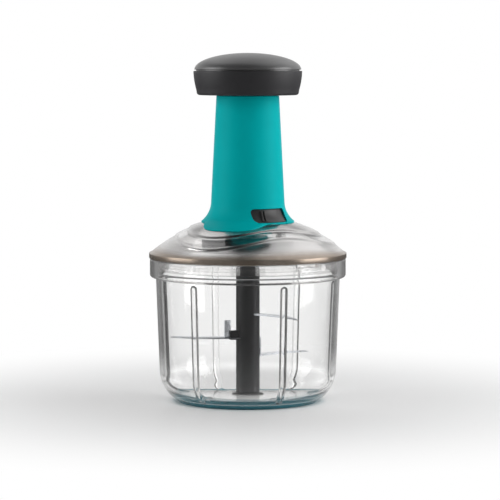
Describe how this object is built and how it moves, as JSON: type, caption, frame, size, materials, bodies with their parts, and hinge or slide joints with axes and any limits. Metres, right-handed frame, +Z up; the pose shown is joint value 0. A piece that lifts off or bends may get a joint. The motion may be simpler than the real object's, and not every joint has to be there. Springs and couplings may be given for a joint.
{
  "type": "push-down food chopper",
  "caption": "Hand food chopper with a clear bowl, a smoked lid and a teal handle whose pushed knob spins a column of curved blades.",
  "frame": {"origin": "middle of the underside of the base ring, on the surface it stands on", "axes": "+Z up along the blade column and the plunger, -Y towards the front, +X to the right seen from the front"},
  "size_m": [0.125, 0.125, 0.2203],
  "materials": {
    "clear_plastic": "polished clear",
    "base_rubber": "matt, slightly soft",
    "turned_steel": "turned, bright",
    "column_plastic": "satin black",
    "bearing_plastic": "satin natural acetal",
    "blade_steel": "polished with ground edges",
    "smoky_plastic": "polished, lightly smoked clear",
    "gasket_silicone": "matt silicone",
    "cover_plastic": "satin black",
    "screw_steel": "zinc plated",
    "teal_plastic": "semi-gloss teal",
    "spring_steel": "drawn wire",
    "slider_plastic": "satin dark grey",
    "tube_plastic": "satin dark grey",
    "knob_plastic": "satin dark grey",
    "cap_plastic": "satin dark grey, lightly textured"
  },
  "bodies": {
    "bowl_unit": {"bowl": "clear_plastic", "base_ring": "base_rubber", "pivot_pin": "turned_steel"},
    "blade_unit": {"blade_column": "column_plastic", "foot_bush": "bearing_plastic", "upper_blade": "blade_steel", "middle_blade": "blade_steel", "lower_blade": "blade_steel", "bottom_blade": "blade_steel"},
    "lid_unit": {"lid": "smoky_plastic", "lid_gasket": "gasket_silicone", "drive_cover": "cover_plastic", "cover_screws": "screw_steel", "thrust_washer": "screw_steel", "handle_housing": "teal_plastic", "guide_bush": "bearing_plastic", "return_spring": "spring_steel"},
    "lock": {"lock_slider": "slider_plastic"},
    "plunger": {"plunger_tube": "tube_plastic", "nut_carrier": "tube_plastic", "drive_nut": "bearing_plastic", "nut_cap": "tube_plastic", "clutch_spring": "spring_steel", "knob_cup": "knob_plastic", "knob_cap": "cap_plastic", "knob_screws": "screw_steel"},
    "spindle": {"spiral_bar": "turned_steel", "cross_pin": "turned_steel", "output_spindle": "cover_plastic", "retaining_clip": "spring_steel"}
  },
  "joints": [
    {"name": "lid_lift", "type": "slide", "parent": "bowl_unit", "child": "lid_unit", "axis": [0, 0, 1], "range_m": [0, 0.12]},
    {"name": "plunger_push", "type": "slide", "parent": "lid_unit", "child": "plunger", "axis": [0, 0, 1], "range_m": [0, 0.05], "deforming": ["return_spring"]},
    {"name": "spindle_turn", "type": "hinge", "parent": "lid_unit", "child": "spindle", "pos_m": [0, 0, 0.1], "axis": [0, 0, 1], "range_deg": [-563.5, 0]},
    {"name": "blade_turn", "type": "hinge", "parent": "bowl_unit", "child": "blade_unit", "pos_m": [0, 0, 0.01], "axis": [0, 0, 1], "range_deg": [-563.5, 0]},
    {"name": "lock_turn", "type": "hinge", "parent": "lid_unit", "child": "lock", "pos_m": [0, 0, 0.115], "axis": [0, 0, 1], "range_deg": [0, 18]}
  ],
  "couplings": [
    {"joint": "spindle_turn", "follows": "plunger_push", "rad_per_m": -196.35},
    {"joint": "blade_turn", "follows": "plunger_push", "rad_per_m": -196.35}
  ]
}
